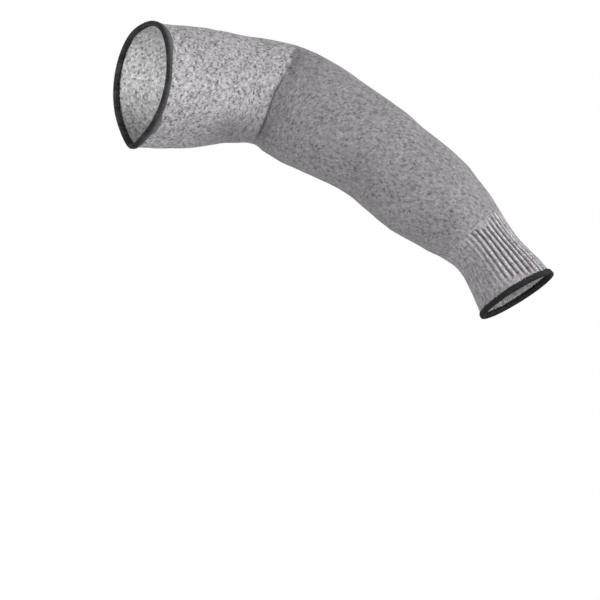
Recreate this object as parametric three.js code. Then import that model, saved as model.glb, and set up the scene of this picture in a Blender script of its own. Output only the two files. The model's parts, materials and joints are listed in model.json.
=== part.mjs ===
import * as THREE from 'three';

// A knitted cut resistant sleeve, holding the bend of the arm it is worn on.
// It is one tube of plain knit, a ribbed cuff, and a black overlocked edge round each end.
// Millimetres: X runs from the upper arm to the wrist, Z is up, and -Y faces the viewer.

// Lengths along the middle of the tube
const upperArmLength = 104; // upper arm opening to where the elbow starts to bend
const forearmLength = 256; // end of the elbow's bend to the wrist opening
const cuffLength = 64; // the ribbed stretch at the wrist end of the forearm

// Outside sizes of the cloth
const openingHeight = 94;
const openingDepth = 101;
const cuffHeight = 55; // at the narrowest place of the cuff
const cuffDepth = 59;
const clothThickness = 1.4;

// Elbow crease: the upper arm's cloth stands over the forearm's like a lip
const innerBendRadius = 6; // room left inside the bend, so that the cloth doesn't cross itself
const creaseDepth = 4;
const creaseWidth = 2.2; // from the lip's edge down to the bottom of the crease
const creaseRecovery = 10; // distance over which the forearm's cloth rises again
const creaseOffset = -3.5; // crease to the middle of the bend, along the arm
const creaseLean = 6.5; // how far the crease leans towards the wrist at the top
const lipHeight = 0.9;
const lipWidth = 4;

// The cloth hangs to a soft point below the upper arm opening
const pointDrop = 13;
const pointReach = 64;

// Ribs of the cuff
const ribPitch = 4.4;
const ribDepth = 1.4;
const ribFade = 4; // length over which the ribs rise out of the plain knit

// Overlocked edges
const edgingWidth = 4.7; // how far the thread wraps over the cloth
const edgingThickness = 0.9;
const seamGap = 0.3; // clearance between two pieces that touch on the real sleeve

// Size of the mesh
const pathStep = 1;
const stepsRound = 40;
const ringSpacing = { plain: 17, bend: 5, crease: 2, cuff: 19 };
const pointsPerRib = 4;

// Sections along each run, at a share of its length. Drop and toward are the tube's heading
// in degrees: below level, and towards the viewer. High and deep are shares of the way
// from the cuff's narrowest size (0) to the size of the upper arm opening (1).
const upperArmSections = [
  { at: 0.0, drop: 8.8, toward: -33, high: 1.0, deep: 1.0 },
  { at: 0.46, drop: 0, toward: -31, high: 1.05, deep: 0.82 },
  { at: 1.0, drop: 5, toward: -28, high: 0.83, deep: 0.6 },
];
const forearmSections = [
  { at: 0.0, drop: 32, toward: 9, high: 1.0, deep: 0.63 },
  { at: 0.08, drop: 30, toward: 10.5, high: 1.02, deep: 0.65 },
  { at: 0.22, drop: 29, toward: 12.5, high: 0.84, deep: 0.6 },
  { at: 0.375, drop: 41, toward: 14, high: 0.73, deep: 0.53 },
  { at: 0.53, drop: 38, toward: 15, high: 0.72, deep: 0.45 },
  { at: 0.69, drop: 42, toward: 15, high: 0.35, deep: 0.25 },
  { at: 0.81, drop: 53, toward: 16, high: 0.0, deep: 0.0 },
  { at: 1.0, drop: 58, toward: 18, high: 0.32, deep: 0.05 },
];

// Soft folds pressed into the cloth, or raised where rise is above 0. At is a share of the
// sleeve's length, angle is round the tube, and along and round are the fold's half widths.
const foldDepth = 2;
const softFolds = [
  { at: 0.0, angle: 32, along: 0.1, round: 24, rise: 0.9 },
  { at: 0.0, angle: 345, along: 0.1, round: 20, rise: -0.7 },
  { at: 0.185, angle: 160, along: 0.03, round: 16, rise: -0.8 },
  { at: 0.24, angle: 150, along: 0.02, round: 26, rise: 0.5 },
  { at: 0.36, angle: 150, along: 0.035, round: 24, rise: 0.6 },
  { at: 0.44, angle: 165, along: 0.028, round: 30, rise: -0.5 },
  { at: 0.57, angle: 60, along: 0.04, round: 26, rise: -0.4 },
  { at: 0.74, angle: 20, along: 0.022, round: 34, rise: 0.5 },
];

const radians = THREE.MathUtils.degToRad;
const clamp = THREE.MathUtils.clamp;

// 0 below low, 1 above high, with a soft rise between them
const softStep = THREE.MathUtils.smoothstep;

// Smallest turn between two angles, in degrees, from -180 to 180
function turnFrom(angle, other) {
  return THREE.MathUtils.euclideanModulo(angle - other + 180, 360) - 180;
}

function headingOf(drop, toward) {
  const forward = Math.cos(radians(toward));
  return new THREE.Vector3(
    forward * Math.cos(radians(drop)),
    -Math.sin(radians(toward)),
    -forward * Math.sin(radians(drop)),
  );
}

const heightOf = (section) => cuffHeight + (openingHeight - cuffHeight) * section.high;
const depthOf = (section) => cuffDepth + (openingDepth - cuffDepth) * section.deep;

// The elbow's bend is as long as its inner side needs to clear the bend's centre
const beforeElbow = upperArmSections.at(-1);
const afterElbow = forearmSections[0];
const elbowBend = headingOf(beforeElbow.drop, beforeElbow.toward).angleTo(
  headingOf(afterElbow.drop, afterElbow.toward),
);
const elbowHalfSize = Math.max(heightOf(beforeElbow), depthOf(beforeElbow)) / 2;
const elbowLength = elbowBend * (elbowHalfSize + innerBendRadius);
const forearmStart = upperArmLength + elbowLength;
const sleeveLength = forearmStart + forearmLength;
const elbowMiddle = upperArmLength + elbowLength / 2;
const cuffStart = sleeveLength - cuffLength;

function place(section, start, length) {
  return {
    distance: start + section.at * length,
    drop: section.drop,
    toward: section.toward,
    height: heightOf(section),
    depth: depthOf(section),
  };
}

const sections = [
  ...upperArmSections.map((section) => place(section, 0, upperArmLength)),
  ...forearmSections.map((section) => place(section, forearmStart, forearmLength)),
];

function spanAt(distance) {
  const last = sections.length - 2;
  const found = sections.findLastIndex((section) => section.distance <= distance);
  const index = clamp(found, 0, last);
  const length = sections[index + 1].distance - sections[index].distance;
  const share = clamp((distance - sections[index].distance) / length, 0, 1);
  return { index, length, share };
}

function straightBetween(column, distance) {
  const { index, share } = spanAt(distance);
  return THREE.MathUtils.lerp(sections[index][column], sections[index + 1][column], share);
}

function slopeAt(column, index) {
  const before = sections[Math.max(index - 1, 0)];
  const here = sections[index];
  const after = sections[Math.min(index + 1, sections.length - 1)];
  const rise = (from, to) => (to[column] - from[column]) / (to.distance - from.distance);
  if (before === here) {
    return rise(here, after);
  }
  if (after === here) {
    return rise(before, here);
  }
  return (rise(before, here) + rise(here, after)) / 2;
}

// Cubic through the sections, so that the tube swells and narrows without corners
function smoothBetween(column, distance) {
  const { index, length, share } = spanAt(distance);
  const cubed = share ** 3;
  const squared = share ** 2;
  return (
    (2 * cubed - 3 * squared + 1) * sections[index][column] +
    (cubed - 2 * squared + share) * length * slopeAt(column, index) +
    (3 * squared - 2 * cubed) * sections[index + 1][column] +
    (cubed - squared) * length * slopeAt(column, index + 1)
  );
}

function headingAt(distance) {
  return headingOf(straightBetween('drop', distance), straightBetween('toward', distance));
}

// Middle of the tube, stepped along its heading
const pathSteps = Math.ceil(sleeveLength / pathStep);
const pathPoints = [new THREE.Vector3()];
for (let step = 0; step < pathSteps; step++) {
  const length = sleeveLength / pathSteps;
  const heading = headingAt((step + 0.5) * length);
  pathPoints.push(pathPoints[step].clone().addScaledVector(heading, length));
}

function centreAt(distance) {
  const inside = clamp(distance, 0, sleeveLength);
  const place = (inside / sleeveLength) * pathSteps;
  const step = Math.min(Math.floor(place), pathSteps - 1);
  const centre = pathPoints[step].clone().lerp(pathPoints[step + 1], place - step);
  return centre.addScaledVector(headingAt(distance), distance - inside);
}

const elbowCentre = centreAt(elbowMiddle);
const elbowHeading = headingAt(elbowMiddle);

// Up and side lie across the tube, up in the picture's plane and side towards the viewer
function acrossAt(distance) {
  const heading = headingAt(distance);
  const up = new THREE.Vector3(-heading.z, 0, heading.x).normalize();
  const side = new THREE.Vector3().crossVectors(heading, up);
  return { up, side };
}

// Angle round the tube at which the elbow's inner side lies: 0 is up, 90 towards the viewer
function innerSideAngle() {
  const inward = headingAt(forearmStart).sub(headingAt(upperArmLength));
  const { up, side } = acrossAt(elbowMiddle);
  return THREE.MathUtils.radToDeg(Math.atan2(inward.dot(side), inward.dot(up)));
}

// The crease is fully deep within one turn of its middle and fades out by a second one
const creaseAngle = innerSideAngle() - 30;
const creaseFullTurn = 38;
const creaseHalfTurn = 86;
const creaseFloor = 0.5; // where the step ends, ahead of the crease line
const leanStart = 80; // angle round the tube at which the lean begins, growing over leanTurn
const leanTurn = 62;

// The soft point at the bottom, in degrees round the tube; it pulls the cloth beside it in
const bottomAngle = 180;
const pointTurn = 24;
const pointRounding = 3;
const pullTurn = 70;
const pullShare = 0.35;

// Section across the tube: an oval, drawn down to that point near the opening
function ovalAt(distance, angle) {
  const turn = turnFrom(angle, bottomAngle);
  const nearness = Math.exp(-Math.max(distance, 0) / pointReach);
  const sharp = Math.exp(-(Math.hypot(turn, pointRounding) - pointRounding) / pointTurn);
  const pulled = pullShare * Math.exp(-((turn / pullTurn) ** 2));
  const drawn = pointDrop * nearness * (sharp - pulled);
  const up = (smoothBetween('height', distance) / 2 + drawn) * Math.cos(radians(angle));
  const side = (smoothBetween('depth', distance) / 2 + drawn) * Math.sin(radians(angle));
  return new THREE.Vector2(up, side);
}

function outwardAt(distance, angle) {
  const nudge = 0.5;
  const ahead = ovalAt(distance, angle + nudge);
  const behind = ovalAt(distance, angle - nudge);
  return new THREE.Vector2(ahead.y - behind.y, behind.x - ahead.x).normalize();
}

// Inward step of the elbow crease. The step inside the wall lies a wall's thickness
// ahead of the one outside, which keeps the wall as thick there as elsewhere.
function creaseAt(point, angle, inset) {
  const nearTop = softStep(leanStart - Math.abs(turnFrom(angle, 0)), 0, leanTurn);
  const place = creaseOffset + creaseLean * nearTop;
  const ahead = point.clone().sub(elbowCentre).dot(elbowHeading) - place + inset;
  const turn = Math.abs(turnFrom(angle, creaseAngle));
  const strength = 1 - softStep(turn, creaseFullTurn, creaseHalfTurn);
  const stepDown = softStep(ahead, creaseFloor - creaseWidth, creaseFloor);
  const recovery = Math.exp(-Math.max(ahead, 0) / creaseRecovery);
  const lip = Math.exp(-(((ahead + lipWidth) / lipWidth) ** 2)) * (1 - stepDown);
  return strength * (lipHeight * lip - creaseDepth * stepDown * recovery);
}

function softFoldsAt(distance, angle) {
  let rise = 0;
  for (const fold of softFolds) {
    const along = (distance / sleeveLength - fold.at) / fold.along;
    const round = turnFrom(angle, fold.angle) / fold.round;
    rise += fold.rise * foldDepth * Math.exp(-(along ** 2) - round ** 2);
  }
  return rise;
}

// The number of ribs is what fits round the cuff's narrowest place
const ribCount = Math.round((Math.PI * (cuffHeight + cuffDepth)) / 2 / ribPitch);
const ribsEnd = sleeveLength - edgingWidth;

function ribsAt(distance, angle) {
  const rising = softStep(distance, cuffStart, cuffStart + ribFade);
  const falling = 1 - softStep(distance, ribsEnd - ribFade, ribsEnd);
  return (ribDepth / 2) * rising * falling * Math.cos(ribCount * radians(angle));
}

// A point of the cloth, at a distance along the tube, an angle round it and an inset from
// its outer face
function clothPoint(distance, angle, inset) {
  const { up, side } = acrossAt(distance);
  const oval = ovalAt(distance, angle);
  const outward = outwardAt(distance, angle);
  const point = centreAt(distance).addScaledVector(up, oval.x).addScaledVector(side, oval.y);
  const relief =
    creaseAt(point, angle, inset) + softFoldsAt(distance, angle) + ribsAt(distance, angle);
  point.addScaledVector(up, outward.x * (relief - inset));
  point.addScaledVector(side, outward.y * (relief - inset));
  return point;
}

// Carries a closed profile of { distance, inset } points round the tube, as one closed mesh
function carryRound(profile, steps) {
  const positions = [];
  for (const { distance, inset } of profile) {
    for (let step = 0; step < steps; step++) {
      const point = clothPoint(distance, (360 * step) / steps, inset);
      positions.push(...point.toArray());
    }
  }
  const triangles = [];
  const indexOf = (row, step) => (row % profile.length) * steps + (step % steps);
  for (let row = 0; row < profile.length; row++) {
    for (let step = 0; step < steps; step++) {
      const near = indexOf(row, step);
      const nearNext = indexOf(row, step + 1);
      const far = indexOf(row + 1, step);
      const farNext = indexOf(row + 1, step + 1);
      triangles.push(near, nearNext, far, nearNext, farNext, far);
    }
  }
  const geometry = new THREE.BufferGeometry();
  geometry.setAttribute('position', new THREE.Float32BufferAttribute(positions, 3));
  geometry.setIndex(triangles);
  geometry.computeVertexNormals();
  return geometry;
}

// Evenly spaced distances from one place up to, but without, the next
function evenly(from, to, spacing) {
  const count = Math.max(1, Math.round((to - from) / spacing));
  return Array.from({ length: count }, (_, step) => from + ((to - from) * step) / count);
}

function wallProfile(distances) {
  const outside = distances.map((distance) => ({ distance, inset: 0 }));
  const inside = distances.map((distance) => ({ distance, inset: clothThickness }));
  return [...outside, ...inside.reverse()];
}

function addPiece(parent, name, geometry, material) {
  const piece = new THREE.Mesh(geometry, new THREE.MeshStandardMaterial(material));
  piece.name = name;
  parent.add(piece);
}

const greyKnit = { color: 0x9b9b9c, roughness: 0.92, metalness: 0 };
const greyRib = { color: 0x959395, roughness: 0.92, metalness: 0 };
const blackThread = { color: 0x1d1d1f, roughness: 0.75, metalness: 0 };

// The edging wraps the cloth's end, so the cloth starts one wrap and one gap inside
const wrapReach = edgingThickness + seamGap;

function knitBody() {
  const bendStart = upperArmLength - lipWidth;
  const creaseStart = elbowMiddle + creaseOffset - 2 * lipWidth;
  const creaseEnd = elbowMiddle + creaseOffset + creaseLean + creaseWidth;
  const bendEnd = forearmStart + creaseRecovery;
  const distances = [
    ...evenly(wrapReach, bendStart, ringSpacing.plain),
    ...evenly(bendStart, creaseStart, ringSpacing.bend),
    ...evenly(creaseStart, creaseEnd, ringSpacing.crease),
    ...evenly(creaseEnd, bendEnd, ringSpacing.bend),
    ...evenly(bendEnd, cuffStart, ringSpacing.plain),
    cuffStart - seamGap,
  ];
  return carryRound(wallProfile(distances), stepsRound);
}

function ribCuff() {
  const clothEnd = sleeveLength - wrapReach;
  const distances = [
    cuffStart,
    ...evenly(cuffStart + ribFade, ribsEnd - ribFade, ringSpacing.cuff),
    ribsEnd - ribFade,
    ribsEnd,
    clothEnd,
  ];
  return carryRound(wallProfile(distances), ribCount * pointsPerRib);
}

// Section of the wrap: reach counts from the sleeve's very end towards its middle,
// and inset from the cloth's outer face. Its outer corners are chamfered.
function wrapSection() {
  const outerFace = -seamGap;
  const outerTop = outerFace - edgingThickness;
  const innerFace = clothThickness + seamGap;
  const innerTop = innerFace + edgingThickness;
  const chamfer = edgingThickness / 2;
  const full = edgingWidth;
  return [
    { reach: edgingThickness, inset: outerFace },
    { reach: full, inset: outerFace },
    { reach: full, inset: outerTop + chamfer },
    { reach: full - chamfer, inset: outerTop },
    { reach: edgingThickness, inset: outerTop },
    { reach: 0, inset: outerFace },
    { reach: 0, inset: innerFace },
    { reach: edgingThickness, inset: innerTop },
    { reach: full - chamfer, inset: innerTop },
    { reach: full, inset: innerTop - chamfer },
    { reach: full, inset: innerFace },
    { reach: edgingThickness, inset: innerFace },
  ];
}

function upperEdging() {
  const profile = wrapSection().map(({ reach, inset }) => ({ distance: reach, inset }));
  return carryRound(profile.reverse(), stepsRound);
}

function wristEdging() {
  const profile = wrapSection().map(({ reach, inset }) => ({
    distance: sleeveLength - reach,
    inset,
  }));
  return carryRound(profile, stepsRound);
}

// The origin is the middle of the tube at the elbow
const sleeve = new THREE.Group();
sleeve.position.copy(elbowCentre).negate();
addPiece(sleeve, 'knit_body', knitBody(), greyKnit);
addPiece(sleeve, 'rib_cuff', ribCuff(), greyRib);
addPiece(sleeve, 'upper_edging', upperEdging(), blackThread);
addPiece(sleeve, 'wrist_edging', wristEdging(), blackThread);

export default sleeve;
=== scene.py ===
import json
import math
from functools import partial

import bpy
import numpy as np
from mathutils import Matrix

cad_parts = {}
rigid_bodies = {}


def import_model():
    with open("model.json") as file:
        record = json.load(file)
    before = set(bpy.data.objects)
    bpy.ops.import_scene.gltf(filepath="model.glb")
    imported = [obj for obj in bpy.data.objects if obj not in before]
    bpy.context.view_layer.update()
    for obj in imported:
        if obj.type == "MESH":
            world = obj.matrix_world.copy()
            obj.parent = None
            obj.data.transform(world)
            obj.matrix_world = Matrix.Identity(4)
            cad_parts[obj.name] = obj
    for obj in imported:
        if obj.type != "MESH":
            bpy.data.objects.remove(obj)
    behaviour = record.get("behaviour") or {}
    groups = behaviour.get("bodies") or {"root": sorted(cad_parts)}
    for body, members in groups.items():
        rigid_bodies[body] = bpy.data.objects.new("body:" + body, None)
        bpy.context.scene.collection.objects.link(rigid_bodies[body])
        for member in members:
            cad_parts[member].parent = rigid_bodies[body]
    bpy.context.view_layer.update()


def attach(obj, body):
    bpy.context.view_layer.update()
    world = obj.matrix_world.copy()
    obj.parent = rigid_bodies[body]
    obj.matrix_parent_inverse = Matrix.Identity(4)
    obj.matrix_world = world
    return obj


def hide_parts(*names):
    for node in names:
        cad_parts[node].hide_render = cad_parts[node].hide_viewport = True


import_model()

# A knitted cut resistant sleeve on a bent arm's shape: plain knit, ribbed cuff, black overlocked edges.
# Shapes are worked out in millimetres from the elbow, where the frame's origin is, and built in metres.
# Angles go round the tube in degrees: 0 on top, 90 towards the viewer, 180 below.
mm = 0.001

# The tube, as the frame's solids have it
tube = dict(
    upperArmLength=104, forearmLength=256, cuffLength=64,
    openingHeight=94, openingDepth=101, cuffHeight=55, cuffDepth=59,
    clothThickness=1.4, innerBendRadius=6, seamGap=0.3,
    pointDrop=13, pointReach=64,                # soft point below the upper arm opening
    pointTurn=24, pointRounding=7, pullTurn=70, pullShare=0.35,
)
edging = dict(width=4.7, thickness=0.9)

# at: share of the run, drop and toward: heading in degrees, high and deep: 0 cuff to 1 opening
upperArmRows = [
    dict(at=0.0, drop=8.8, toward=-33, high=1.0, deep=1.0),
    dict(at=0.46, drop=0, toward=-31, high=1.05, deep=0.82),
    dict(at=1.0, drop=5, toward=-28, high=0.83, deep=0.6),
]
forearmRows = [
    dict(at=0.0, drop=32, toward=9, high=1.0, deep=0.63),
    dict(at=0.08, drop=30, toward=10.5, high=1.02, deep=0.65),
    dict(at=0.22, drop=29, toward=12.5, high=0.84, deep=0.6),
    dict(at=0.375, drop=41, toward=14, high=0.73, deep=0.53),
    dict(at=0.53, drop=38, toward=15, high=0.72, deep=0.45),
    dict(at=0.69, drop=42, toward=15, high=0.35, deep=0.25),
    dict(at=0.81, drop=53, toward=16, high=0.0, deep=0.0),
    dict(at=1.0, drop=58, toward=18, high=0.32, deep=0.05),
]


def smoothStep(value, low, high):
    share = np.clip((value - low) / (high - low), 0, 1)
    return share * share * (3 - 2 * share)


def bell(value, middle, width):
    return np.exp(-(((value - middle) / width) ** 2))


def turnFrom(angle, other):
    return (angle - other + 180) % 360 - 180


def unit(vectors):
    return vectors / np.linalg.norm(vectors, axis=-1, keepdims=True)


def headingOf(drop, toward):
    drop, toward = np.radians(drop), np.radians(toward)
    return np.stack([np.cos(toward) * np.cos(drop), -np.sin(toward), -np.cos(toward) * np.sin(drop)], -1)


def sizesOf(row):
    height = tube["cuffHeight"] + (tube["openingHeight"] - tube["cuffHeight"]) * row["high"]
    depth = tube["cuffDepth"] + (tube["openingDepth"] - tube["cuffDepth"]) * row["deep"]
    return height, depth


# The elbow bends over the length that its inner side needs
beforeElbow, afterElbow = upperArmRows[-1], forearmRows[0]
headingIn, headingOut = [headingOf(row["drop"], row["toward"]) for row in (beforeElbow, afterElbow)]
elbowTurn = math.acos(float(headingIn @ headingOut))
elbowLength = elbowTurn * (max(sizesOf(beforeElbow)) / 2 + tube["innerBendRadius"])
forearmStart = tube["upperArmLength"] + elbowLength
sleeveLength = forearmStart + tube["forearmLength"]
elbowMiddle = tube["upperArmLength"] + elbowLength / 2
cuffStart = sleeveLength - tube["cuffLength"]

rows = upperArmRows + forearmRows
rowAt = np.array(
    [row["at"] * tube["upperArmLength"] for row in upperArmRows]
    + [forearmStart + row["at"] * tube["forearmLength"] for row in forearmRows]
)
rowDrop = np.array([row["drop"] for row in rows], float)
rowToward = np.array([row["toward"] for row in rows], float)
rowHeight, rowDepth = np.array([sizesOf(row) for row in rows]).T


# Smooth curve through the rows' values
def smoothBetween(values, distance):
    slopes = np.diff(values) / np.diff(rowAt)
    tangents = np.concatenate([slopes[:1], (slopes[1:] + slopes[:-1]) / 2, slopes[-1:]])
    distance = np.clip(distance, 0, sleeveLength)
    index = np.clip(np.searchsorted(rowAt, distance, side="right") - 1, 0, len(rowAt) - 2)
    length = rowAt[index + 1] - rowAt[index]
    share = (distance - rowAt[index]) / length
    cubed, squared = share**3, share**2
    return (
        (2 * cubed - 3 * squared + 1) * values[index]
        + (cubed - 2 * squared + share) * length * tangents[index]
        + (3 * squared - 2 * cubed) * values[index + 1]
        + (cubed - squared) * length * tangents[index + 1]
    )


def headingAt(distance):
    return headingOf(np.interp(distance, rowAt, rowDrop), np.interp(distance, rowAt, rowToward))


# Middle of the tube, stepped along its heading, with the elbow at the origin
pathSteps = math.ceil(sleeveLength)
pathAt = np.linspace(0, sleeveLength, pathSteps + 1)
pathStride = headingAt((pathAt[1:] + pathAt[:-1]) / 2) * (sleeveLength / pathSteps)
pathPoints = np.concatenate([np.zeros((1, 3)), np.cumsum(pathStride, 0)])


def centreAt(distance):
    inside = np.clip(distance, 0, sleeveLength)
    centre = np.stack([np.interp(inside, pathAt, pathPoints[:, axis]) for axis in range(3)], -1)
    return centre + headingAt(distance) * (distance - inside)[..., None]


pathPoints = pathPoints - centreAt(np.array(elbowMiddle))


def acrossAt(distance):
    heading = headingAt(distance)
    up = unit(np.stack([-heading[..., 2], 0 * heading[..., 0], heading[..., 0]], -1))
    return up, np.cross(heading, up)


def ovalAt(distance, angle):
    turn = turnFrom(angle, 180)
    rounding = tube["pointRounding"]
    sharp = np.exp(-(np.hypot(turn, rounding) - rounding) / tube["pointTurn"])
    drawn = tube["pointDrop"] * np.exp(-np.maximum(distance, 0) / tube["pointReach"])
    drawn = drawn * (sharp - tube["pullShare"] * bell(turn, 0, tube["pullTurn"]))
    up = (smoothBetween(rowHeight, distance) / 2 + drawn) * np.cos(np.radians(angle))
    side = (smoothBetween(rowDepth, distance) / 2 + drawn) * np.sin(np.radians(angle))
    return up, side


# Elbow crease, where the upper arm's cloth laps over the forearm's. Lengths go ahead of it, to the wrist.
crease = dict(
    depth=4.0, width=2.2, recovery=10, offset=-4.6, floor=0.5, lipHeight=0.9, lipWidth=4,
    turn=-30, fullTurn=38, halfTurn=86,
    topShift=7.5, topAngle=100, topTurn=60,     # the line leans towards the wrist near the top
    lap=1.7, lapAt=-1.4, lapWidth=1.3,          # cloth pushed forward over the crease
    tuck=1.3, tuckAt=0.4, tuckWidth=1.6,        # and back under it
)
elbowHeading = headingAt(np.array(elbowMiddle))
elbowUp, elbowSide = acrossAt(np.array(elbowMiddle))
elbowInward = headingAt(np.array(forearmStart)) - headingAt(np.array(tube["upperArmLength"]))
creaseAngle = math.degrees(math.atan2(elbowInward @ elbowSide, elbowInward @ elbowUp)) + crease["turn"]


def aheadOfCrease(points, angle):
    nearTop = smoothStep(crease["topAngle"] - np.abs(turnFrom(angle, 0)), 0, crease["topTurn"])
    return points @ elbowHeading - crease["offset"] - crease["topShift"] * nearTop


def creaseStrength(angle):
    return 1 - smoothStep(np.abs(turnFrom(angle, creaseAngle)), crease["fullTurn"], crease["halfTurn"])


def creaseAt(points, angle, inset):
    ahead = aheadOfCrease(points, angle) + inset
    strength = creaseStrength(angle)
    stepDown = smoothStep(ahead, crease["floor"] - crease["width"], crease["floor"])
    recovery = np.exp(-np.maximum(ahead, 0) / crease["recovery"])
    lip = bell(ahead, -crease["lipWidth"], crease["lipWidth"]) * (1 - stepDown)
    rise = strength * (crease["lipHeight"] * lip - crease["depth"] * stepDown * recovery)
    lapped = crease["lap"] * bell(ahead, crease["lapAt"], crease["lapWidth"])
    tucked = crease["tuck"] * bell(ahead, crease["tuckAt"], crease["tuckWidth"])
    return rise, strength * (lapped - tucked)


# Soft folds: at is a share of the length, along and round are half widths, rise is in foldDepths
foldDepth = 2.0
softFolds = [
    dict(at=0.0, angle=32, along=0.10, round=24, rise=0.9),
    dict(at=0.0, angle=345, along=0.10, round=20, rise=-0.7),
    dict(at=0.243, angle=68, along=0.009, round=26, rise=-0.6),
    dict(at=0.185, angle=160, along=0.03, round=16, rise=-0.8),
    dict(at=0.24, angle=150, along=0.02, round=26, rise=0.5),
    dict(at=0.36, angle=150, along=0.035, round=24, rise=0.6),
    dict(at=0.44, angle=165, along=0.028, round=30, rise=-0.5),
    dict(at=0.57, angle=60, along=0.04, round=26, rise=-0.4),
    dict(at=0.74, angle=20, along=0.022, round=34, rise=0.5),
]


def foldsAt(distance, angle):
    rise = np.zeros(np.broadcast(distance, angle).shape)
    for fold in softFolds:
        along = bell(distance / sleeveLength, fold["at"], fold["along"])
        around = bell(turnFrom(angle, fold["angle"]), 0, fold["round"])
        rise += fold["rise"] * foldDepth * along * around
    return rise


# Sum of sines over the cloth with seeded lengths, turns round the tube and phases
def wavesAt(look, distance, angle):
    chance = np.random.default_rng(look["seed"])
    total = np.zeros(np.broadcast(distance, angle).shape)
    for _ in range(look["count"]):
        length = chance.uniform(look["shortest"], look["longest"])
        around = chance.integers(look["fewestTurns"], look["mostTurns"] + 1)
        phase = chance.uniform(0, 2 * math.pi)
        total += np.sin(2 * math.pi * distance / length + around * np.radians(angle) + phase)
    return total


# Puckers: faint waves that a worn knit always has, which fade out before the stiff edgings
puckers = dict(
    height=0.17, count=14, shortest=16, longest=46, fewestTurns=-9, mostTurns=9, seed=7,
    noneWithin=4, fullBeyond=14,
)


def puckersAt(distance, angle):
    fromEnd = np.minimum(distance, sleeveLength - distance)
    fading = smoothStep(fromEnd, puckers["noneWithin"], puckers["fullBeyond"])
    return puckers["height"] * fading * wavesAt(puckers, distance, angle) / math.sqrt(puckers["count"])


# Ribs of the cuff. They stand out where the cuff hangs free, and lie flat where the wrist stretches it.
ribs = dict(pitch=4.4, depth=2.0, fade=4, fadeEnd=9, wander=0.035, ragged=3, weakShare=0.12, clearance=0.5)
ribWander = dict(count=6, shortest=22, longest=60, fewestTurns=2, mostTurns=8, share=0.5, seed=11)
freeRibs = [dict(angle=60, round=40, share=1.0), dict(angle=255, round=62, share=0.75)]
ribCount = round(math.pi * (tube["cuffHeight"] + tube["cuffDepth"]) / 2 / ribs["pitch"])
ribsEnd = sleeveLength - edging["width"] - ribs["clearance"]


def ribsAt(distance, angle):
    wander = ribWander["share"] * wavesAt(ribWander, distance, angle)
    ragged = distance + ribs["ragged"] * wander
    rising = smoothStep(ragged, cuffStart, cuffStart + ribs["fade"])
    falling = 1 - smoothStep(ragged, ribsEnd - ribs["fadeEnd"], ribsEnd)
    free = 0
    for place in freeRibs:
        around = turnFrom(angle, place["angle"]) / place["round"]
        free = free + place["share"] * np.exp(-(around**4))
    strength = ribs["weakShare"] + (1 - ribs["weakShare"]) * free
    wave = np.cos(ribCount * np.radians(angle) + 2 * math.pi * ribs["wander"] * wander)
    return rising * falling * strength * wave


# Points of the cloth: inset goes into the wall, lift stands off it
def clothPoints(distance, angle, inset, lift=0.0, ribbed=False):
    halfStep = 0.5                              # degrees to each side, for the oval's slope
    up, side = acrossAt(distance)
    high, deep = ovalAt(distance, angle)
    aheadHigh, aheadDeep = ovalAt(distance, angle + halfStep)
    behindHigh, behindDeep = ovalAt(distance, angle - halfStep)
    outHigh, outDeep = aheadDeep - behindDeep, behindHigh - aheadHigh
    length = np.hypot(outHigh, outDeep)
    outward = up * (outHigh / length)[..., None] + side * (outDeep / length)[..., None]
    points = centreAt(distance) + up * high[..., None] + side * deep[..., None]
    rise, forward = creaseAt(points, angle, inset)
    rise = rise + foldsAt(distance, angle) + puckersAt(distance, angle)
    if ribbed:
        rise = rise + ribs["depth"] / 2 * ribsAt(distance, angle)
    points = points + outward * (rise + lift - inset)[..., None]
    return points + elbowHeading * forward[..., None]


# Cloth counted in stitches: wales run along the sleeve and courses round it, at the pitch of a coarse
# machine knit. They crowd on the inner side of the elbow, where the cloth is pushed together.
stitches = dict(walesPerRib=4, coursePitch=1.75, crowding=70, measureSteps=500)
waleCount = ribCount * stitches["walesPerRib"]


def courseCounts(distances, angles):
    fine = np.linspace(0, sleeveLength, stitches["measureSteps"])
    grid = np.meshgrid(fine, angles, indexing="ij")
    up, side = acrossAt(grid[0])
    high, deep = ovalAt(*grid)
    points = centreAt(grid[0]) + up * high[..., None] + side * deep[..., None]
    pieces = np.linalg.norm(np.diff(points, axis=0), axis=-1)
    lengths = np.concatenate([np.zeros((1, len(angles))), np.cumsum(pieces, 0)])
    spread = smoothStep(fine, elbowMiddle - stitches["crowding"], elbowMiddle + stitches["crowding"])
    lengths = lengths + (sleeveLength - lengths[-1]) * spread[:, None]
    courses = np.stack([np.interp(distances, fine, lengths[:, k]) for k in range(len(angles))], 1)
    return courses / stitches["coursePitch"]


# Even steps from start to just before end, where the next stretch takes over
def evenly(start, end, spacing):
    count = max(1, round((end - start) / spacing))
    return list(start + (end - start) * np.arange(count) / count)


def anglesRound(count):
    return 360 * np.arange(count) / count


def addObject(name, content):
    made = bpy.data.objects.new(name, content)
    bpy.context.scene.collection.objects.link(made)
    return made


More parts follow.
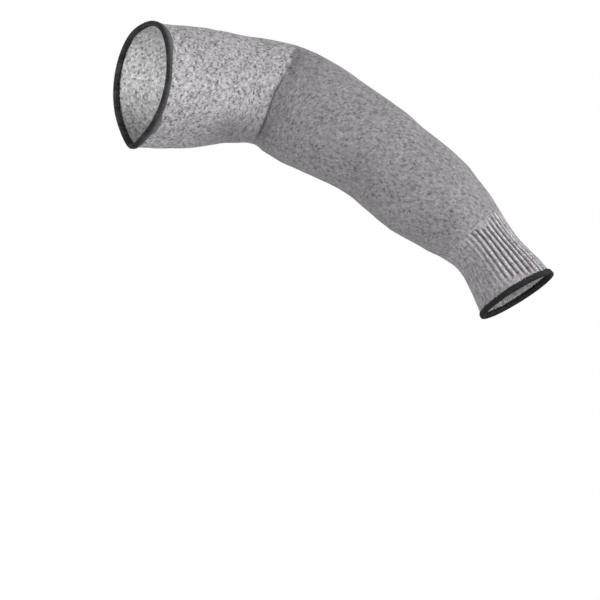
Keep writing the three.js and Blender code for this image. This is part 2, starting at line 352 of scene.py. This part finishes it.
# Closed mesh from rows of points that run round the tube; across and along are its uv
def meshPiece(name, points, across, along, uvName, materials, slotOf=None):
    rowCount, columnCount = points.shape[:2]
    row, column = np.meshgrid(np.arange(rowCount), np.arange(columnCount), indexing="ij")
    nextRow, nextColumn = (row + 1) % rowCount, (column + 1) % columnCount
    corners = [(row, column, 0), (row, nextColumn, 1), (nextRow, nextColumn, 1), (nextRow, column, 0)]
    faces = np.stack([r * columnCount + c for r, c, _ in corners], -1).reshape(-1, 4)
    mesh = bpy.data.meshes.new(name)
    mesh.from_pydata((points.reshape(-1, 3) * mm).tolist(), [], faces.tolist())
    uvs = np.stack([np.stack([(column + step) * across, along[r, c]], -1) for r, c, step in corners], 2)
    mesh.uv_layers.new(name=uvName).uv.foreach_set("vector", uvs.reshape(-1).astype(np.float32))
    if slotOf is not None:
        mesh.polygons.foreach_set("material_index", np.repeat(slotOf, columnCount).astype(np.int32))
    for material in materials:
        mesh.materials.append(material)
    mesh.shade_smooth()
    return addObject(name, mesh)


# Values at a piece's points, which its materials read by name
def paint(piece, name, values):
    attribute = piece.data.attributes.new(name, "FLOAT", "POINT")
    attribute.data.foreach_set("value", values.reshape(-1).astype(np.float32))


def placePiece(piece, node):
    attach(piece, "root")
    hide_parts(node)


def linear(code):
    parts = [int(code[place:place + 2], 16) / 255 for place in (1, 3, 5)]
    return [part / 12.92 if part <= 0.04045 else ((part + 0.055) / 1.055) ** 2.4 for part in parts] + [1.0]


# Feeds a node's sockets, by name or number, with values, sockets or other nodes' first outputs
def feed(tree, node, inputs):
    for key, value in inputs.items():
        if isinstance(value, bpy.types.Node):
            value = value.outputs[0]
        if isinstance(value, bpy.types.NodeSocket):
            tree.links.new(value, node.inputs[key])
        else:
            node.inputs[key].default_value = value


def addNode(tree, kind, inputs, **settings):
    made = tree.nodes.new("ShaderNode" + kind)
    for key, value in settings.items():
        setattr(made, key, value)
    feed(tree, made, inputs)
    return made


def newMaterial(name):
    material = bpy.data.materials.new(name)
    material.use_nodes = True
    tree = material.node_tree
    return material, tree, partial(addNode, tree)


colourA, colourB, colourOut = 6, 7, 2           # the colour sockets of a Mix node
white = linear("#ffffff")

# Knitted HPPE yarn: white filament plied with grey and dark glass fibre. Each course is one yarn, so
# its flecks run round the sleeve and differ from course to course, which reads as a mottled grey.
# Real fibres are too fine to show, so fibreSize is drawn as coarse as it needs to be, in mm.
knitLook = dict(
    dark="#524f53", mid="#a8a5a8", light="#d7d4d7", darkAt=0.14, midAt=0.46, lightAt=0.86,
    fleckWales=2.3, courseShift=7.31, fleckSpan=1.122, fleckDetail=1.5,
    legSpan=0.32, fibreSpan=0.60, fibreSize=0.55, fibreDetail=2.0, noiseRoughness=0.6,
    fleckCalm=0.33, toneDarkening=0.70, foldShade=0.84, gapShade=0.80,
    cloudShade=0.10, cloudSize=28, cloudDetail=2.0, cloudLow=0.3, cloudHigh=0.7,
    slant=0.55, loopPower=0.5, fibreRelief=0.35, bump=0.55, height=0.35,
    roughness=0.9, roughnessSpread=0.08, sheen=0.12, sheenRoughness=0.5, specular=0.3, ior=1.5,
)
# The back side is a lighter copy of the knit: painted light, for the light that gets into the tube
paintedLightBackLook = dict(knitLook, dark="#77767a", mid="#c3c2c3", light="#e9e8e8")
# The cuff is the same yarn knitted in ribs, and is darkened less than the forearm
cuffLook = dict(
    knitLook, toneDarkening=0.86,
    grooveShade=0.40, ridgeShade=1.75, ridgeTint=(1.05, 0.968, 1.0), grooveLevel=-0.8, ridgeLevel=0.9,
)


# Tone of the yarn from dark to light: flecks along each yarn, one tone a leg, and single fibres
def yarnColour(add, look, wale, legNumber, courseNumber, fibres, calmedTone):
    yarnPlace = add("CombineXYZ", {
        0: add("Math", {0: wale, 1: 1 / look["fleckWales"]}, operation="MULTIPLY"),
        1: add("Math", {0: courseNumber, 1: look["courseShift"]}, operation="MULTIPLY"),
    })
    flecks = add("TexNoise", {
        "Vector": yarnPlace, "Scale": 1.0, "Detail": look["fleckDetail"], "Roughness": look["noiseRoughness"],
    }, noise_dimensions="2D")
    legPlace = add("CombineXYZ", {0: legNumber, 1: courseNumber})
    legTone = add("TexWhiteNoise", {"Vector": legPlace}, noise_dimensions="2D")
    tone = add("Math", {0: flecks, 1: look["fleckSpan"]}, operation="MULTIPLY")
    tone = add("Math", {0: legTone, 1: look["legSpan"], 2: tone}, operation="MULTIPLY_ADD")
    tone = add("Math", {0: fibres, 1: look["fibreSpan"], 2: tone}, operation="MULTIPLY_ADD")
    middle = (look["fleckSpan"] + look["legSpan"] + look["fibreSpan"]) / 2
    centred = add("Math", {0: tone, 1: middle}, operation="SUBTRACT")
    contrast = add("MapRange", {"Value": calmedTone, "To Min": 1.0, "To Max": 1 - look["fleckCalm"]})
    ramp = add("ValToRGB", {0: add("Math", {0: centred, 1: contrast, 2: 0.5}, operation="MULTIPLY_ADD")})
    darkStop, lightStop = ramp.color_ramp.elements
    darkStop.position = look["darkAt"]
    darkStop.color = linear(look["dark"])
    lightStop.position = look["lightAt"]
    lightStop.color = linear(look["light"])
    ramp.color_ramp.elements.new(look["midAt"]).color = linear(look["mid"])
    return ramp


# The cuff's grooves lie in shade and its ridges catch the light, a little warmer
def shadeRibs(add, look, ramp, shade):
    rib = add("Attribute", {}, attribute_name="rib").outputs["Fac"]
    groove = {"Value": rib, "From Min": look["grooveLevel"], "From Max": 0.0}
    ridge = {"Value": rib, "From Min": 0.0, "From Max": look["ridgeLevel"]}
    deep = add("MapRange", {**groove, "To Min": look["grooveShade"], "To Max": 1.0})
    bright = add("MapRange", {**ridge, "To Min": 1.0, "To Max": look["ridgeShade"]})
    shade = add("Math", {0: shade, 1: deep}, operation="MULTIPLY")
    shade = add("Math", {0: shade, 1: bright}, operation="MULTIPLY")
    tint = (*look["ridgeTint"], 1)
    tinted = add("Mix", {0: add("MapRange", ridge), colourA: white, colourB: tint}, data_type="RGBA")
    ramp = add("VectorMath", {0: ramp, 1: tinted.outputs[colourOut]}, operation="MULTIPLY")
    return ramp, shade


# A face side shows each loop as two slanted legs, a back side as one level bar (purl)
def knitMaterial(name, look, purl=False, ribbed=False):
    material, tree, add = newMaterial(name)
    place = add("SeparateXYZ", {0: add("UVMap", {}, uv_map="knit")})
    wale, course = place.outputs[0], place.outputs[1]
    insideWale = add("Math", {0: wale}, operation="FRACT")
    besideMiddle = add("Math", {0: insideWale, 1: 0.5}, operation="SUBTRACT")
    fromMiddle = add("Math", {0: besideMiddle}, operation="ABSOLUTE")
    lean = add("Math", {0: fromMiddle, 1: 0.0 if purl else look["slant"] * 2}, operation="MULTIPLY")
    leaning = add("Math", {0: course, 1: lean}, operation="ADD")
    courseNumber = add("Math", {0: leaning}, operation="FLOOR")
    insideCourse = add("Math", {0: leaning}, operation="FRACT")
    legs = add("Math", {0: wale, 1: 1.0 if purl else 2.0}, operation="MULTIPLY")
    legNumber = add("Math", {0: legs}, operation="FLOOR")
    insideLeg = add("Math", {0: legs}, operation="FRACT")

    # Height of a loop's leg: round across the leg and along it
    acrossTurn = add("Math", {0: insideLeg, 1: math.pi}, operation="MULTIPLY")
    alongTurn = add("Math", {0: insideCourse, 1: math.pi}, operation="MULTIPLY")
    acrossLeg = add("Math", {0: acrossTurn}, operation="SINE")
    alongLeg = add("Math", {0: alongTurn}, operation="SINE")
    rounded = add("Math", {0: acrossLeg, 1: alongLeg}, operation="MULTIPLY")
    loop = add("Math", {0: rounded, 1: look["loopPower"]}, operation="POWER")

    objectPlace = add("TexCoord", {}).outputs["Object"]
    fibres = add("TexNoise", {
        "Vector": objectPlace, "Scale": 1 / (look["fibreSize"] * mm),
        "Detail": look["fibreDetail"], "Roughness": look["noiseRoughness"],
    })
    calmedTone = add("Attribute", {}, attribute_name="calmDark").outputs["Fac"]
    colour = yarnColour(add, look, wale, legNumber, courseNumber, fibres, calmedTone)

    # Painted shade in the gaps between the loops, in the elbow's crease and under the upper arm.
    # The forearm's knit is darker, and all of it is faintly cloudy.
    gap = add("MapRange", {"Value": loop, "To Min": look["gapShade"], "To Max": 1.0})
    clouds = add("TexNoise", {
        "Vector": objectPlace, "Scale": 1 / (look["cloudSize"] * mm), "Detail": look["cloudDetail"],
    })
    cloudy = add("MapRange", {
        "Value": clouds, "From Min": look["cloudLow"], "From Max": look["cloudHigh"],
        "To Min": 1 - look["cloudShade"] / 2, "To Max": 1 + look["cloudShade"] / 2,
    })
    # Calmer, darker forearm; behind the crease this darkening is painted shade under the elbow and upper arm
    worn = add("MapRange", {"Value": calmedTone, "To Min": 1.0, "To Max": look["toneDarkening"]})
    fold = add("Attribute", {}, attribute_name="fold").outputs["Fac"]
    paintedFoldShade = add("MapRange", {"Value": fold, "To Min": 1.0, "To Max": 1 - look["foldShade"]})
    shade = gap
    for part in (cloudy, worn, paintedFoldShade):
        shade = add("Math", {0: shade, 1: part}, operation="MULTIPLY")
    if ribbed:
        colour, shade = shadeRibs(add, look, colour, shade)

    spread = look["roughnessSpread"]
    relief = add("Math", {0: fibres, 1: look["fibreRelief"], 2: loop}, operation="MULTIPLY_ADD")
    feed(tree, tree.nodes["Principled BSDF"], {
        "Base Color": add("VectorMath", {0: colour, "Scale": shade}, operation="SCALE"),
        "Normal": add("Bump", {"Height": relief, "Strength": look["bump"], "Distance": look["height"] * mm}),
        "Roughness": add("MapRange", {
            "Value": fibres, "To Min": look["roughness"] - spread, "To Max": look["roughness"] + spread,
        }),
        "Sheen Weight": look["sheen"], "Sheen Roughness": look["sheenRoughness"],
        "Specular IOR Level": look["specular"], "IOR": look["ior"],
    })
    return material


# The forearm's knit is calmer and darker than the upper arm's. The same calmer, darker tone is painted
# shade under the elbow and upper arm: turns are from its angle, lengths from the elbow's middle.
toneStepSpread = 4                                  # mm to each side of the crease
paintedUnderShade = [
    dict(amount=0.4, fullTurn=50, goneTurn=105, begins=-45, full=-8),
    dict(amount=0.85, fullTurn=14, goneTurn=46, begins=-88, full=-52),
]
# Painted shade under the upper arm, behind the elbow's crease
shadeUnderArm = dict(share=0.3, ahead=-32, along=44, angle=150, round=28)


# Calmer, darker knit ahead of the crease, and painted shade under the elbow and upper arm behind it
def knitToneAt(points, distance, angle):
    fromUnder = np.abs(turnFrom(angle, shadeUnderArm["angle"]))
    early = np.zeros(distance.shape)
    for place in paintedUnderShade:
        around = 1 - smoothStep(fromUnder, place["fullTurn"], place["goneTurn"])
        along = smoothStep(distance, elbowMiddle + place["begins"], elbowMiddle + place["full"])
        early = np.maximum(early, place["amount"] * around * along)
    return early + (1 - early) * smoothStep(aheadOfCrease(points, angle), -toneStepSpread, toneStepSpread)


# Shade in the crease: a thin dark line where the cloth tucks in, and a soft one ahead of it.
# Turns are degrees from the top, lengths are ahead of the crease.
foldTone = dict(
    lineDark=0.76, lineWidth=1.35, lineAt=0.4, lineFaint=0.1, faintTurn=50, fullTurn=92,
    endTurn=146, goneTurn=166,
    softReach=8, softShare=0.12, softTop=0.3, softStart=-1, softFull=1.5, topSpread=5,
    fullStrength=0.45,
)


def foldShadeAt(points, angle):
    ahead = aheadOfCrease(points, angle)
    fromTop = np.abs(turnFrom(angle, 0))
    low = smoothStep(fromTop, foldTone["faintTurn"], foldTone["fullTurn"])
    ending = 1 - smoothStep(fromTop, foldTone["endTurn"], foldTone["goneTurn"])
    line = foldTone["lineDark"] * bell(ahead, foldTone["lineAt"], foldTone["lineWidth"])
    line = line * (foldTone["lineFaint"] + (1 - foldTone["lineFaint"]) * low) * ending
    softStart = foldTone["softStart"] - foldTone["topSpread"] * (1 - low)
    rising = smoothStep(ahead, softStart, foldTone["softFull"])
    soft = foldTone["softShare"] + foldTone["softTop"] * (1 - low)
    soft = soft * rising * np.exp(-np.maximum(ahead, 0) / foldTone["softReach"])
    # Painted shade under the upper arm
    around = bell(turnFrom(angle, shadeUnderArm["angle"]), 0, shadeUnderArm["round"])
    underArmShade = shadeUnderArm["share"] * bell(ahead, shadeUnderArm["ahead"], shadeUnderArm["along"]) * around
    strength = smoothStep(creaseStrength(angle), 0.0, foldTone["fullStrength"])
    return np.clip(strength * np.maximum(line, soft) + underArmShade, 0, 1)


# A wall of cloth: rings along the outside, then fewer rings back along the inside
def clothWall(name, outside, insideShare, stepsRound, materials, ribbed=False):
    insideSteps = np.linspace(0, 1, round(len(outside) * insideShare))
    inside = np.interp(insideSteps, np.linspace(0, 1, len(outside)), outside)[::-1]
    distances = np.concatenate([outside, inside])
    isInside = np.arange(len(distances)) >= len(outside)
    angles = anglesRound(stepsRound)
    distance, angle = np.meshgrid(distances, angles, indexing="ij")
    inset = np.where(isInside, tube["clothThickness"], 0.0)[:, None] + 0 * angle
    points = clothPoints(distance, angle, inset, ribbed=ribbed)
    courses = courseCounts(distances, angles)
    piece = meshPiece(name, points, waleCount / stepsRound, courses, "knit", materials, isInside.astype(int))
    paint(piece, "calmDark", knitToneAt(points, distance, angle))
    if ribbed:
        paint(piece, "rib", ribsAt(distance, angle))
    else:
        # Painted shade in the crease and under the upper arm
        paint(piece, "fold", np.where(isInside[:, None], 0, foldShadeAt(points, angle)))
    return piece


# Body of plain knit, with finer rings near the elbow's middle; the bend and fold places are mm from it
body = dict(
    stepsRound=240, plainSpacing=1.4, bendSpacing=0.9, foldSpacing=0.5, insideShare=0.33,
    bendStart=-24, foldStart=-9, foldEnd=6, bendEnd=22,
)


def makeBody():
    bendStart, foldStart, foldEnd, bendEnd = [
        elbowMiddle + body[key] for key in ("bendStart", "foldStart", "foldEnd", "bendEnd")
    ]
    outside = (
        evenly(edging["thickness"] + tube["seamGap"], bendStart, body["plainSpacing"])
        + evenly(bendStart, foldStart, body["bendSpacing"])
        + evenly(foldStart, foldEnd, body["foldSpacing"])
        + evenly(foldEnd, bendEnd, body["bendSpacing"])
        + evenly(bendEnd, cuffStart, body["plainSpacing"])
        + [cuffStart]
    )
    face = knitMaterial("knitted HPPE yarn, face side", knitLook)
    back = knitMaterial("knitted HPPE yarn, back side", paintedLightBackLook, purl=True)
    piece = clothWall("knit_body_cloth", outside, body["insideShare"], body["stepsRound"], [face, back])
    placePiece(piece, "knit_body")
    print("body:", len(outside), "rings outside")


# Ribbed cuff, knitted on from the body
cuff = dict(stepsPerRib=12, spacing=1.1, insideShare=0.5)


def makeCuff():
    clothEnd = sleeveLength - edging["thickness"] - tube["seamGap"]
    outside = evenly(cuffStart, clothEnd, cuff["spacing"]) + [clothEnd]
    face = knitMaterial("ribbed HPPE yarn, face side", cuffLook, ribbed=True)
    back = knitMaterial("ribbed HPPE yarn, back side", paintedLightBackLook, purl=True)
    stepsRound = ribCount * cuff["stepsPerRib"]
    piece = clothWall("rib_cuff_cloth", outside, cuff["insideShare"], stepsRound, [face, back], ribbed=True)
    placePiece(piece, "rib_cuff")
    print("cuff:", ribCount, "ribs")


# Loose filament ends that stand off the yarn, as thin slivers seen only at the outline and up close,
# where they make it soft. Each is a root, a middle and a tip, which bends down to the cloth. Real ones
# are a few hundredths of a millimetre wide, too fine to show, so width is a little more.
fibreLook = dict(
    count=15000, length=1.5, shortest=0.4, width=0.07, seed=31, edgeClearance=7,
    rootLift=-0.1, aboveLift=0.9, rootStand=0.88, tipStand=0.22,
    colour="#bdbcbe", darkest=0.55, lightest=1.1, toneSize=3, toneDetail=1.0, toneLow=0.3, toneHigh=0.7,
    roughness=0.8, specular=0.3,
)


def fibreMaterial():
    look = fibreLook
    material, tree, add = newMaterial("loose filament ends of the knit")
    shade = add("TexNoise", {
        "Vector": add("TexCoord", {}).outputs["Object"],
        "Scale": 1 / (look["toneSize"] * mm), "Detail": look["toneDetail"],
    })
    tone = add("MapRange", {
        "Value": shade, "From Min": look["toneLow"], "From Max": look["toneHigh"],
        "To Min": look["darkest"], "To Max": look["lightest"],
    })
    feed(tree, tree.nodes["Principled BSDF"], {
        "Base Color": add("VectorMath", {0: linear(look["colour"])[:3], "Scale": tone}, operation="SCALE"),
        "Roughness": look["roughness"], "Specular IOR Level": look["specular"],
    })
    return material


def makeFibres(name, node, start, end, count, material, ribbed=False):
    look = fibreLook
    chance = np.random.default_rng(look["seed"])
    distance = chance.uniform(start, end, count)
    angle = chance.uniform(0, 360, count)
    roots = clothPoints(distance, angle, 0 * distance, lift=look["rootLift"], ribbed=ribbed)
    above = clothPoints(distance, angle, 0 * distance, lift=look["aboveLift"], ribbed=ribbed)
    outward = unit(above - roots)
    lay = unit(np.cross(outward, unit(chance.normal(0, 1, (count, 3)))))
    halves = (look["length"] * chance.uniform(look["shortest"], 1.0, count))[:, None] / 2
    side = np.cross(outward, lay) * look["width"] / 2
    middle = roots + halves * unit(outward * look["rootStand"] + lay)
    tip = middle + halves * unit(outward * look["tipStand"] + lay)
    points = np.stack([roots - side, roots + side, middle + side, middle - side, tip], 1)
    first = np.arange(count)[:, None] * points.shape[1]
    quads = (first + np.array([0, 1, 2, 3])).tolist()
    tips = (first + np.array([3, 2, 4])).tolist()
    mesh = bpy.data.meshes.new(name)
    mesh.from_pydata((points.reshape(-1, 3) * mm).tolist(), [], quads + tips)
    mesh.materials.append(material)
    placePiece(addObject(name, mesh), node)
    print(name + ":", count, "fibres")


# Overlock edging: black nylon thread wrapped side by side over the cloth's end. The wraps are what
# makes it a matt black rim with a fine ridge to each thread, worn to grey in patches. The thread's own
# fluff is too fine to show, so fluffSize is drawn as coarse as it needs to be, in mm.
# Its grey for cloth between sparse wraps also paints a highlight on the outer part of the wraps' top
threadLook = dict(
    thread="#0c0c0d", worn="#3a3a3c", sparseAndHighlight="#66656a", paintedHighlight=0.5, highlightFrom=0.25, highlightTo=0.9,
    fluffSize=0.7, fluffDetail=3.0, fluffRoughness=0.65, wearSize=9, wearDetail=2.0,
    wrapTone=0.16, wornFrom=0.22, wornFull=0.50, twistRelief=0.3, bump=0.5, height=0.2,
    roughness=0.66, smoother=0.12, rougher=0.14, sheen=0.04, specular=0.3, ior=1.53, seed=21,
)
# A darker copy of the thread for the wrist: painted shade, with less painted highlight and no sheen
wristShadeLook = dict(threadLook, thread="#040405", worn="#1a1a1c", paintedHighlight=0.1, sheen=0.0, seed=22)


def threadMaterial(name, look):
    material, tree, add = newMaterial(name)
    place = add("SeparateXYZ", {0: add("UVMap", {}, uv_map="thread")})
    wrap, overEnd = place.outputs[0], place.outputs[1]
    twistPlace = add("Math", {0: wrap, 1: overEnd}, operation="ADD")
    twistTurn = add("Math", {0: twistPlace, 1: 2 * math.pi}, operation="MULTIPLY")
    twist = add("Math", {0: twistTurn}, operation="SINE")
    objectPlace = add("TexCoord", {}).outputs["Object"]
    fluff = add("TexNoise", {
        "Vector": objectPlace, "Scale": 1 / (look["fluffSize"] * mm),
        "Detail": look["fluffDetail"], "Roughness": look["fluffRoughness"],
    })
    wear = add("TexNoise", {
        "Vector": objectPlace, "Scale": 1 / (look["wearSize"] * mm), "Detail": look["wearDetail"],
    })
    worn = add("Math", {0: fluff, 1: wear}, operation="MULTIPLY")
    wrapTone = add("TexWhiteNoise", {"W": add("Math", {0: wrap}, operation="FLOOR")}, noise_dimensions="1D")
    worn = add("Math", {0: wrapTone, 1: look["wrapTone"], 2: worn}, operation="MULTIPLY_ADD")
    amount = add("MapRange", {"Value": worn, "From Min": look["wornFrom"], "From Max": look["wornFull"]})
    black, grey, openedAndHighlight = linear(look["thread"]), linear(look["worn"]), linear(look["sparseAndHighlight"])
    colour = add("Mix", {0: amount, colourA: black, colourB: grey}, data_type="RGBA").outputs[colourOut]
    # Grey where wraps lie sparsely, and painted highlight on their top side
    sparseAndHighlight = add("Attribute", {}, attribute_name="sparseAndHighlight").outputs["Fac"]
    colour = add("Mix", {0: sparseAndHighlight, colourA: colour, colourB: openedAndHighlight}, data_type="RGBA").outputs[colourOut]
    relief = add("Math", {0: twist, 1: look["twistRelief"], 2: fluff}, operation="MULTIPLY_ADD")
    feed(tree, tree.nodes["Principled BSDF"], {
        "Base Color": colour,
        "Normal": add("Bump", {"Height": relief, "Strength": look["bump"], "Distance": look["height"] * mm}),
        "Roughness": add("MapRange", {
            "Value": fluff, "To Min": look["roughness"] - look["smoother"],
            "To Max": look["roughness"] + look["rougher"],
        }),
        "Sheen Weight": look["sheen"], "Specular IOR Level": look["specular"], "IOR": look["ior"],
    })
    return material


wraps = dict(
    pitch=1.15, relief=0.16, stepsEach=5, reachSpread=0.225, fatSpread=0.16,
    turnOver=1.2,                               # mm from the middle level to where ridges stand straight out
    uvLength=6,
)
# Where the upper arm's wraps reach further over the cloth and lie more sparsely
longWraps = dict(outerFrom=0.5, sparsest=3.0)
longWrapRows = [dict(angle=44, round=17, extra=3.0), dict(angle=140, round=12, extra=2.6)]
# A wrap's section, from the cloth's face over its end to the back. reach: share of the wrap's reach over
# the cloth, lift: mm off the level, shows: how much of the thread's ridge stands there
wrapSection = [
    dict(reach=1.00, level="face", lift=0.06, shows=0.0),
    dict(reach=1.02, level="top", lift=-0.585, shows=0.5),
    dict(reach=0.94, level="top", lift=-0.22, shows=1.0),
    dict(reach=0.80, level="top", lift=-0.04, shows=1.0),
    dict(reach=0.60, level="top", lift=0.04, shows=1.0),
    dict(reach=0.40, level="top", lift=0.04, shows=1.0),
    dict(reach=0.22, level="top", lift=-0.05, shows=1.0),
    dict(reach=0.10, level="top", lift=-0.35, shows=1.0),
    dict(reach=0.02, level="top", lift=-0.85, shows=1.0),
    dict(reach=0.00, level="middle", lift=0.0, shows=1.0),
    dict(reach=0.02, level="bottom", lift=0.85, shows=1.0),
    dict(reach=0.10, level="bottom", lift=0.35, shows=1.0),
    dict(reach=0.22, level="bottom", lift=0.05, shows=1.0),
    dict(reach=0.50, level="bottom", lift=-0.04, shows=1.0),
    dict(reach=0.80, level="bottom", lift=0.04, shows=1.0),
    dict(reach=0.97, level="bottom", lift=0.4, shows=0.5),
    dict(reach=1.00, level="back", lift=-0.06, shows=0.0),
    dict(reach=0.20, level="back", lift=-0.15, shows=0.0),
    dict(reach=0.20, level="face", lift=0.15, shows=0.0),
]
wrapTop = tube["seamGap"] + edging["thickness"]
wrapLevels = dict(
    top=wrapTop, face=0.0, middle=-tube["clothThickness"] / 2,
    back=-tube["clothThickness"], bottom=-tube["clothThickness"] - wrapTop,
)


# Wraps of thread over the cloth's end: rounded ridges side by side, each a little uneven
def makeEdging(name, node, fromStart, look, material):
    end = 0.0 if fromStart else sleeveLength
    inward = 1 if fromStart else -1
    degrees = np.arange(360.0)
    high, deep = ovalAt(end + 0 * degrees, degrees)
    girth = np.hypot(np.diff(np.append(high, high[0])), np.diff(np.append(deep, deep[0]))).sum()
    count = round(girth / wraps["pitch"])
    stepsRound = count * wraps["stepsEach"]
    angles = anglesRound(stepsRound)
    chance = np.random.default_rng(look["seed"])
    reach = np.repeat(edging["width"] + chance.normal(0, wraps["reachSpread"], count), wraps["stepsEach"])
    fat = np.repeat(1 + chance.normal(0, wraps["fatSpread"], count), wraps["stepsEach"])
    phase = np.arange(stepsRound) / wraps["stepsEach"] % 1.0
    ridge = wraps["relief"] * (2 * np.sqrt(np.clip(np.sin(math.pi * phase), 0, 1)) * fat - 1)
    extra = np.zeros(stepsRound)
    if fromStart:
        for place in longWrapRows:
            extra += place["extra"] * np.exp(-((turnFrom(angles, place["angle"]) / place["round"]) ** 4))

    share = np.array([row["reach"] for row in wrapSection])[:, None]
    lift = np.array([wrapLevels[row["level"]] + row["lift"] for row in wrapSection])[:, None]
    ridge = ridge * np.array([row["shows"] for row in wrapSection])[:, None]
    fromMiddle = lift - wrapLevels["middle"]
    outwards = np.sign(fromMiddle) * np.clip(np.abs(fromMiddle) / wraps["turnOver"], 0, 1)
    outer = smoothStep(share, longWraps["outerFrom"], 1.0) * (lift > 0)
    fromEnd = share * reach + outer * extra - ridge * (1 - np.abs(outwards))
    distance = end + inward * fromEnd
    angle = np.broadcast_to(angles, distance.shape)
    points = clothPoints(distance, angle, 0 * distance, lift=lift + ridge * outwards)
    along = wraps["uvLength"] * np.linspace(0, 1, len(wrapSection))[:, None] + 0 * angle
    # Painted highlight: grey over the outer part of the wraps' top side
    highlightShare = look["paintedHighlight"] * smoothStep(share, look["highlightFrom"], look["highlightTo"]) * (lift > 0)
    sparseAndHighlight = np.clip(outer * extra / longWraps["sparsest"] + highlightShare, 0, 1)
    if fromStart:                               # keeps the faces turned outwards
        points, along, sparseAndHighlight = points[::-1], along[::-1], sparseAndHighlight[::-1]
    piece = meshPiece(name, points, 1 / wraps["stepsEach"], along, "thread", [material])
    paint(piece, "sparseAndHighlight", sparseAndHighlight)
    placePiece(piece, node)
    print(name + ":", count, "wraps")


# Studio: white surroundings that light mostly from the front, and a pale floor well below
studio = dict(
    floorDrop=1.5, floorSize=6, floorColour="#d6d6d6", floorGlow=0.76, floorRoughness=0.9,
    around=0.14, front=0.435, behind=1.2, under=0.08, least=0.02,
)
# Lamps: a large soft one from the right gives the upper arm its brighter face, one from the lower left
# fills its shade, and a narrow soft spot shines into the upper arm opening
lamps = [
    dict(name="key", kind="AREA", power=12.0, size=0.55, place=(1.02, -0.58, 0.33), aim=(0, 0, 0)),
    dict(name="fill", kind="AREA", power=7.6, size=0.8, place=(-0.45, -1.0, -0.66), aim=(0.05, 0, -0.04)),
    dict(
        name="opening fill", kind="SPOT", power=41, size=0.03, wide=5.4, blend=1.0,
        place=(-0.42, -1.1, 0.12), aim=(-0.118, -0.045, 0.012),
    ),
]


def makeLamp(look):
    lamp = bpy.data.lights.new(look["name"], look["kind"])
    lamp.energy = look["power"]
    if look["kind"] == "AREA":
        lamp.size = look["size"]
    else:
        lamp.shadow_soft_size = look["size"]
        lamp.spot_size = math.radians(look["wide"])
        lamp.spot_blend = look["blend"]
    made = addObject(look["name"], lamp)
    made.location = look["place"]
    direction = unit(np.array(look["aim"]) - np.array(look["place"]))
    made.rotation_euler = (math.acos(-direction[2]), 0, math.atan2(direction[1], direction[0]) - math.pi / 2)


# The surroundings are plain white to the camera, and light the sleeve by direction
def makeWorld():
    world = bpy.data.worlds.new("white studio")
    bpy.context.scene.world = world
    world.use_nodes = True
    tree = world.node_tree
    add = partial(addNode, tree)
    direction = add("SeparateXYZ", {0: add("TexCoord", {}).outputs["Generated"]})
    away, upward = direction.outputs["Y"], direction.outputs["Z"]
    towards = add("Math", {0: away, 1: -1.0}, operation="MULTIPLY")
    downward = add("Math", {0: upward, 1: -1.0}, operation="MULTIPLY")
    sides = [(towards, studio["front"]), (away, studio["behind"]), (downward, -studio["under"])]
    strength = studio["around"]
    for side, amount in sides:
        facing = add("Math", {0: side, 1: 0.0}, operation="MAXIMUM")
        strength = add("Math", {0: facing, 1: amount, 2: strength}, operation="MULTIPLY_ADD")
    strength = add("Math", {0: strength, 1: studio["least"]}, operation="MAXIMUM")
    light = tree.nodes["Background"]
    feed(tree, light, {"Color": white, "Strength": strength})
    seen = add("Background", {"Color": white, "Strength": 1.0})
    mixed = add("MixShader", {0: add("LightPath", {}).outputs["Is Camera Ray"], 1: light, 2: seen})
    feed(tree, tree.nodes["World Output"], {"Surface": mixed})


# Matt floor that glows faintly to the camera, so that it stays pale behind the sleeve
def makeFloor():
    half = studio["floorSize"] / 2
    mesh = bpy.data.meshes.new("floor")
    corners = [(-half, -half, 0), (half, -half, 0), (half, half, 0), (-half, half, 0)]
    mesh.from_pydata(corners, [], [(0, 1, 2, 3)])
    floor = addObject("floor", mesh)
    floor.location = (0, 0, -studio["floorDrop"])
    material, tree, add = newMaterial("matt painted studio floor")
    seen = add("LightPath", {}).outputs["Is Camera Ray"]
    feed(tree, tree.nodes["Principled BSDF"], {
        "Base Color": linear(studio["floorColour"]), "Roughness": studio["floorRoughness"],
        "Emission Color": white,
        "Emission Strength": add("Math", {0: seen, 1: studio["floorGlow"]}, operation="MULTIPLY"),
    })
    mesh.materials.append(material)


# Camera at the photograph's angle
view = dict(place=(0.050, -1.200, -0.060), down=5.584, turn=1.297, lens=83.14, sensor=36, far=50)


def makeCamera():
    lens = bpy.data.cameras.new("camera")
    lens.sensor_width = view["sensor"]
    lens.lens = view["lens"]
    lens.clip_end = view["far"]
    camera = addObject("camera", lens)
    camera.location = view["place"]
    camera.rotation_euler = (math.radians(90 - view["down"]), 0, math.radians(view["turn"]))
    bpy.context.scene.camera = camera


makeBody()
makeCuff()
filament = fibreMaterial()
bodyStart, cuffEnd = fibreLook["edgeClearance"], sleeveLength - fibreLook["edgeClearance"]
bodyFibres = fibreLook["count"]
cuffFibres = round(bodyFibres * tube["cuffLength"] / sleeveLength)
makeFibres("knit_body_fibres", "knit_body", bodyStart, cuffStart, bodyFibres, filament)
makeFibres("rib_cuff_fibres", "rib_cuff", cuffStart, cuffEnd, cuffFibres, filament, ribbed=True)
thread = threadMaterial("nylon overlock thread, black", threadLook)
# Darker copy of the thread for the wrist: painted shade
shadowedThread = threadMaterial("nylon overlock thread, black, shadowed", wristShadeLook)
makeEdging("upper_edging_thread", "upper_edging", True, threadLook, thread)
makeEdging("wrist_edging_thread", "wrist_edging", False, wristShadeLook, shadowedThread)

makeWorld()
makeFloor()
for lamp in lamps:
    makeLamp(lamp)
makeCamera()
bpy.context.scene.view_settings.view_transform = "Standard"
print("studio:", len(lamps), "lamps")
